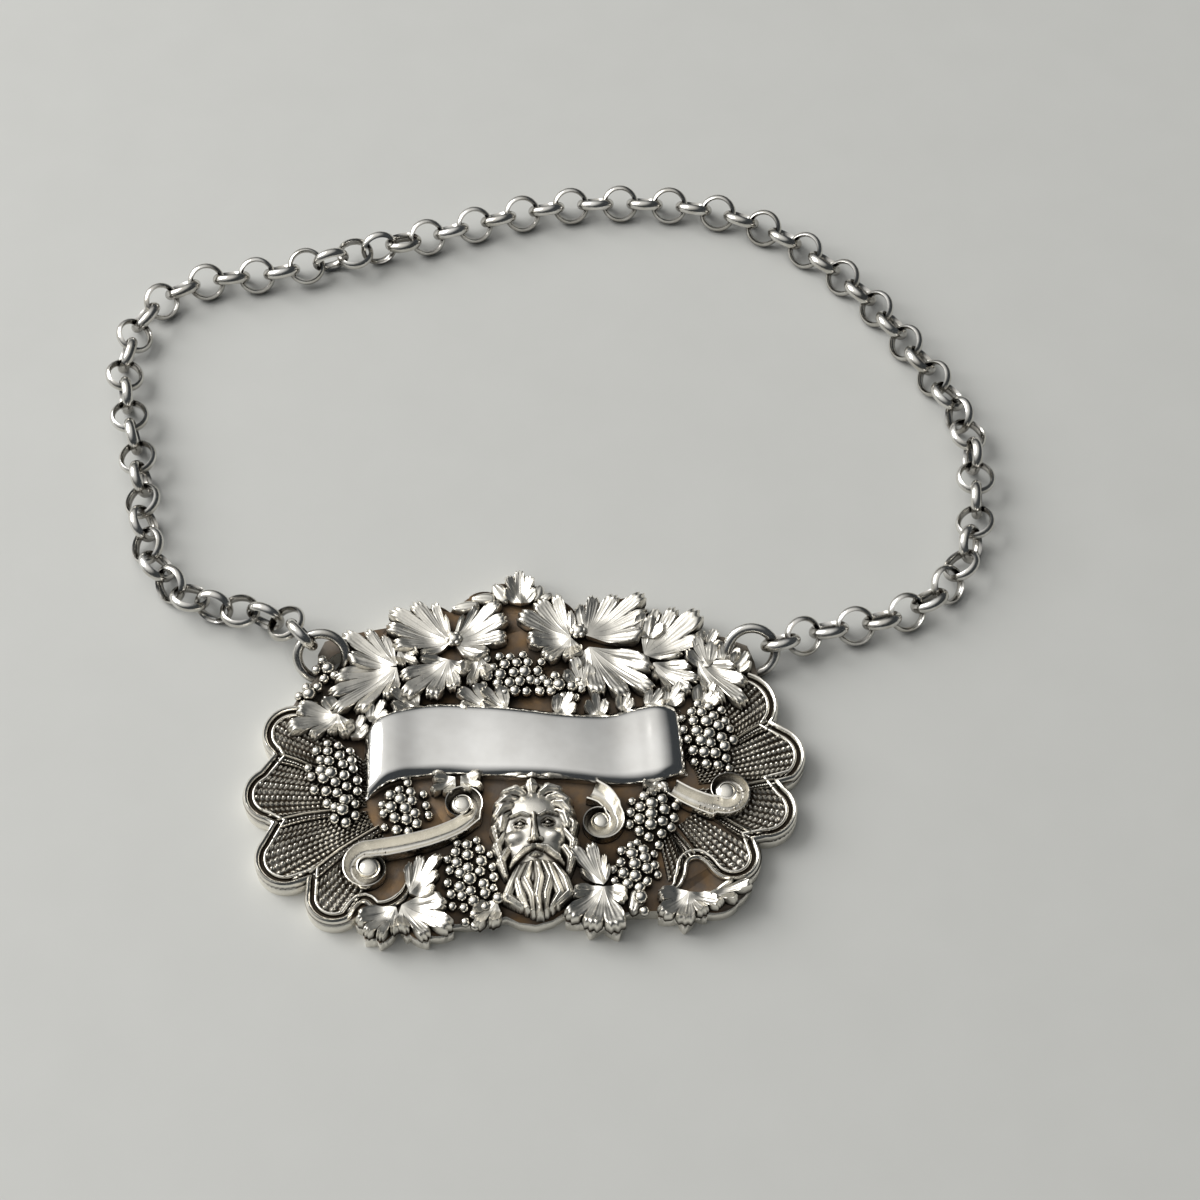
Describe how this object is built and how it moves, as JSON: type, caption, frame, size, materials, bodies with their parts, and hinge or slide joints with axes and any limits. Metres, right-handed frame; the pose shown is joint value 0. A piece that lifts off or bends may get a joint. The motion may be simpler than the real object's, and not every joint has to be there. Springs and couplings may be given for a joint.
{
  "type": "wine label",
  "caption": "Cast silver decanter label with shell wings, vine leaves, grapes, a bearded mask and a plain banner, hung from a belcher chain by jump rings.",
  "frame": {"origin": "middle of the plaque's flat back, between its shell wings, at the table", "axes": "+X across the label to the viewer's right, +Y up the label towards the chain, +Z out of its face"},
  "size_m": [0.1046, 0.1023, 0.0064],
  "materials": {
    "cast_silver": "cast silver, tarnished brown in the ground",
    "bright_silver": "polished silver"
  },
  "bodies": {
    "label": {"plaque": "cast_silver", "title_banner": "bright_silver"},
    "ring_left": {"jump_ring_left": "bright_silver"},
    "ring_right": {"jump_ring_right": "bright_silver"},
    "links_01": {"chain_links_01": "bright_silver"},
    "links_02": {"chain_links_02": "bright_silver"},
    "links_03": {"chain_links_03": "bright_silver"},
    "links_04": {"chain_links_04": "bright_silver"},
    "links_05": {"chain_links_05": "bright_silver"},
    "links_06": {"chain_links_06": "bright_silver"},
    "links_07": {"chain_links_07": "bright_silver"},
    "links_08": {"chain_links_08": "bright_silver"},
    "links_09": {"chain_links_09": "bright_silver"},
    "links_10": {"chain_links_10": "bright_silver"},
    "links_11": {"chain_links_11": "bright_silver"},
    "links_12": {"chain_links_12": "bright_silver"},
    "links_13": {"chain_links_13": "bright_silver"},
    "links_14": {"chain_links_14": "bright_silver"},
    "links_15": {"chain_links_15": "bright_silver"},
    "links_16": {"chain_links_16": "bright_silver"},
    "links_17": {"chain_links_17": "bright_silver"},
    "links_18": {"chain_links_18": "bright_silver"},
    "links_19": {"chain_links_19": "bright_silver"},
    "links_20": {"chain_links_20": "bright_silver"},
    "links_21": {"chain_links_21": "bright_silver"},
    "links_22": {"chain_links_22": "bright_silver"},
    "links_23": {"chain_links_23": "bright_silver"},
    "links_24": {"chain_links_24": "bright_silver"},
    "links_25": {"chain_links_25": "bright_silver"},
    "links_26": {"chain_links_26": "bright_silver"},
    "links_27": {"chain_links_27": "bright_silver"},
    "links_28": {"chain_links_28": "bright_silver"},
    "links_29": {"chain_links_29": "bright_silver"},
    "links_30": {"chain_links_30": "bright_silver"},
    "links_31": {"chain_links_31": "bright_silver"},
    "links_32": {"chain_links_32": "bright_silver"},
    "links_33": {"chain_links_33": "bright_silver"},
    "links_34": {"chain_links_34": "bright_silver"},
    "links_35": {"chain_links_35": "bright_silver"},
    "links_36": {"chain_links_36": "bright_silver"},
    "link_top": {"chain_link_top": "bright_silver"}
  },
  "joints": [
    {"name": "ring_left_swing", "type": "hinge", "parent": "label", "child": "ring_left", "pos_m": [-0.0202, 0.0126, 0.0017], "axis": [0.9982, -0.0599, 0], "range_deg": [0, 60]},
    {"name": "ring_right_swing", "type": "hinge", "parent": "label", "child": "ring_right", "pos_m": [0.0231, 0.01, 0.0017], "axis": [0.9982, -0.0599, 0], "range_deg": [0, 60]},
    {"name": "links_01_fold", "type": "hinge", "parent": "ring_left", "child": "links_01", "pos_m": [0.00187, 0.01259, 0.00404], "axis": [0.9971, -0.073, -0.0208], "range_deg": [-12, 12]},
    {"name": "links_02_fold", "type": "hinge", "parent": "links_01", "child": "links_02", "pos_m": [0.00243, 0.01449, 0.0032], "axis": [-0.9958, 0.0887, 0.0239], "range_deg": [-12, 12]},
    {"name": "links_03_fold", "type": "hinge", "parent": "links_02", "child": "links_03", "pos_m": [0.00284, 0.01591, 0.00238], "axis": [0.9951, -0.0979, -0.01], "range_deg": [-12, 12]},
    {"name": "links_04_fold", "type": "hinge", "parent": "links_03", "child": "links_04", "pos_m": [0.00301, 0.01683, 0.00216], "axis": [-0.9949, 0.1012, 0.006], "range_deg": [-12, 12]},
    {"name": "links_05_fold", "type": "hinge", "parent": "links_04", "child": "links_05", "pos_m": [0.00304, 0.01731, 0.00214], "axis": [0.9951, -0.0986, -0.0052], "range_deg": [-12, 12]},
    {"name": "links_06_fold", "type": "hinge", "parent": "links_05", "child": "links_06", "pos_m": [0.0031, 0.01816, 0.00209], "axis": [-0.9955, 0.0952, 0.004], "range_deg": [-12, 12]},
    {"name": "links_07_fold", "type": "hinge", "parent": "links_06", "child": "links_07", "pos_m": [0.00329, 0.0196, 0.00202], "axis": [0.9952, -0.0976, -0.0025], "range_deg": [-12, 12]},
    {"name": "links_08_fold", "type": "hinge", "parent": "links_07", "child": "links_08", "pos_m": [0.00364, 0.02164, 0.00195], "axis": [-0.9949, 0.1011, 0.001], "range_deg": [-12, 12]},
    {"name": "links_09_fold", "type": "hinge", "parent": "links_08", "child": "links_09", "pos_m": [0.00402, 0.02417, 0.00197], "axis": [0.9947, -0.1031, 0.0001], "range_deg": [-12, 12]},
    {"name": "links_10_fold", "type": "hinge", "parent": "links_09", "child": "links_10", "pos_m": [0.00448, 0.02698, 0.0021], "axis": [-0.9945, 0.1046, -0.0005], "range_deg": [-12, 12]},
    {"name": "links_11_fold", "type": "hinge", "parent": "links_10", "child": "links_11", "pos_m": [0.00498, 0.02997, 0.00221], "axis": [0.9944, -0.1056, 0.0006], "range_deg": [-12, 12]},
    {"name": "links_12_fold", "type": "hinge", "parent": "links_11", "child": "links_12", "pos_m": [0.00531, 0.03304, 0.00229], "axis": [-0.9944, 0.1056, -0.0006], "range_deg": [-12, 12]},
    {"name": "links_13_fold", "type": "hinge", "parent": "links_12", "child": "links_13", "pos_m": [0.00536, 0.03613, 0.00234], "axis": [0.9945, -0.1048, 0.0004], "range_deg": [-12, 12]},
    {"name": "links_14_fold", "type": "hinge", "parent": "links_13", "child": "links_14", "pos_m": [0.00522, 0.03922, 0.00236], "axis": [-0.9946, 0.1036, 0], "range_deg": [-12, 12]},
    {"name": "links_15_fold", "type": "hinge", "parent": "links_14", "child": "links_15", "pos_m": [0.00496, 0.04231, 0.00235], "axis": [0.9947, -0.1023, -0.0005], "range_deg": [-12, 12]},
    {"name": "links_16_fold", "type": "hinge", "parent": "links_15", "child": "links_16", "pos_m": [0.00456, 0.0454, 0.0023], "axis": [-0.9948, 0.102, 0.0012], "range_deg": [-12, 12]},
    {"name": "links_17_fold", "type": "hinge", "parent": "links_16", "child": "links_17", "pos_m": [0.00393, 0.04845, 0.00222], "axis": [0.9947, -0.103, -0.002], "range_deg": [-12, 12]},
    {"name": "links_18_fold", "type": "hinge", "parent": "links_17", "child": "links_18", "pos_m": [0.00335, 0.05146, 0.00212], "axis": [-0.9943, 0.1061, 0.003], "range_deg": [-12, 12]},
    {"name": "links_19_fold", "type": "hinge", "parent": "links_18", "child": "links_19", "pos_m": [0.00299, 0.05442, 0.00204], "axis": [0.9939, -0.1104, -0.003], "range_deg": [-12, 12]},
    {"name": "links_20_fold", "type": "hinge", "parent": "links_19", "child": "links_20", "pos_m": [0.00282, 0.05731, 0.00199], "axis": [-0.9934, 0.1144, 0.0019], "range_deg": [-12, 12]},
    {"name": "links_21_fold", "type": "hinge", "parent": "links_20", "child": "links_21", "pos_m": [0.00293, 0.06006, 0.00195], "axis": [0.9932, -0.1167, -0.0011], "range_deg": [-12, 12]},
    {"name": "links_22_fold", "type": "hinge", "parent": "links_21", "child": "links_22", "pos_m": [0.00336, 0.0625, 0.00191], "axis": [-0.9935, 0.1141, 0.0004], "range_deg": [-12, 12]},
    {"name": "links_23_fold", "type": "hinge", "parent": "links_22", "child": "links_23", "pos_m": [0.00398, 0.06453, 0.0019], "axis": [0.9946, -0.1039, 0], "range_deg": [-12, 12]},
    {"name": "links_24_fold", "type": "hinge", "parent": "links_23", "child": "links_24", "pos_m": [0.00462, 0.06615, 0.0019], "axis": [-0.9963, 0.086, 0], "range_deg": [-12, 12]},
    {"name": "links_25_fold", "type": "hinge", "parent": "links_24", "child": "links_25", "pos_m": [0.00522, 0.06746, 0.0019], "axis": [0.9982, -0.0608, 0], "range_deg": [-12, 12]},
    {"name": "links_26_fold", "type": "hinge", "parent": "links_25", "child": "links_26", "pos_m": [0.00574, 0.06871, 0.0019], "axis": [-0.9994, 0.0337, 0], "range_deg": [-12, 12]},
    {"name": "links_27_fold", "type": "hinge", "parent": "links_26", "child": "links_27", "pos_m": [0.00618, 0.07003, 0.00195], "axis": [1, -0.0086, -0.0017], "range_deg": [-12, 12]},
    {"name": "links_28_fold", "type": "hinge", "parent": "links_27", "child": "links_28", "pos_m": [0.00651, 0.07135, 0.00206], "axis": [-0.9999, -0.0145, 0.0056], "range_deg": [-12, 12]},
    {"name": "links_29_fold", "type": "hinge", "parent": "links_28", "child": "links_29", "pos_m": [0.00674, 0.07258, 0.00211], "axis": [0.9993, 0.0364, -0.0083], "range_deg": [-12, 12]},
    {"name": "links_30_fold", "type": "hinge", "parent": "links_29", "child": "links_30", "pos_m": [0.00688, 0.07367, 0.00211], "axis": [-0.9983, -0.0567, 0.0093], "range_deg": [-12, 12]},
    {"name": "links_31_fold", "type": "hinge", "parent": "links_30", "child": "links_31", "pos_m": [0.00694, 0.07461, 0.00206], "axis": [0.9972, 0.0749, -0.008], "range_deg": [-12, 12]},
    {"name": "links_32_fold", "type": "hinge", "parent": "links_31", "child": "links_32", "pos_m": [0.00695, 0.0754, 0.00195], "axis": [-0.9959, -0.0905, 0.0031], "range_deg": [-12, 12]},
    {"name": "links_33_fold", "type": "hinge", "parent": "links_32", "child": "links_33", "pos_m": [0.00692, 0.07609, 0.0019], "axis": [0.9948, 0.1015, 0], "range_deg": [-12, 12]},
    {"name": "links_34_fold", "type": "hinge", "parent": "links_33", "child": "links_34", "pos_m": [0.00688, 0.07668, 0.0019], "axis": [-0.9939, -0.1101, 0], "range_deg": [-12, 12]},
    {"name": "links_35_fold", "type": "hinge", "parent": "links_34", "child": "links_35", "pos_m": [0.00683, 0.07719, 0.0019], "axis": [0.993, 0.118, 0], "range_deg": [-12, 12]},
    {"name": "links_36_fold", "type": "hinge", "parent": "links_35", "child": "links_36", "pos_m": [0.00679, 0.07758, 0.0019], "axis": [-0.9917, -0.1283, 0], "range_deg": [-12, 12]},
    {"name": "link_top_fold", "type": "hinge", "parent": "links_36", "child": "link_top", "pos_m": [0.00677, 0.07777, 0.0019], "axis": [0.9901, 0.1406, 0], "range_deg": [-12, 12]}
  ],
  "couplings": [
    {"joint": "ring_right_swing", "follows": "ring_left_swing", "ratio": 1}
  ]
}
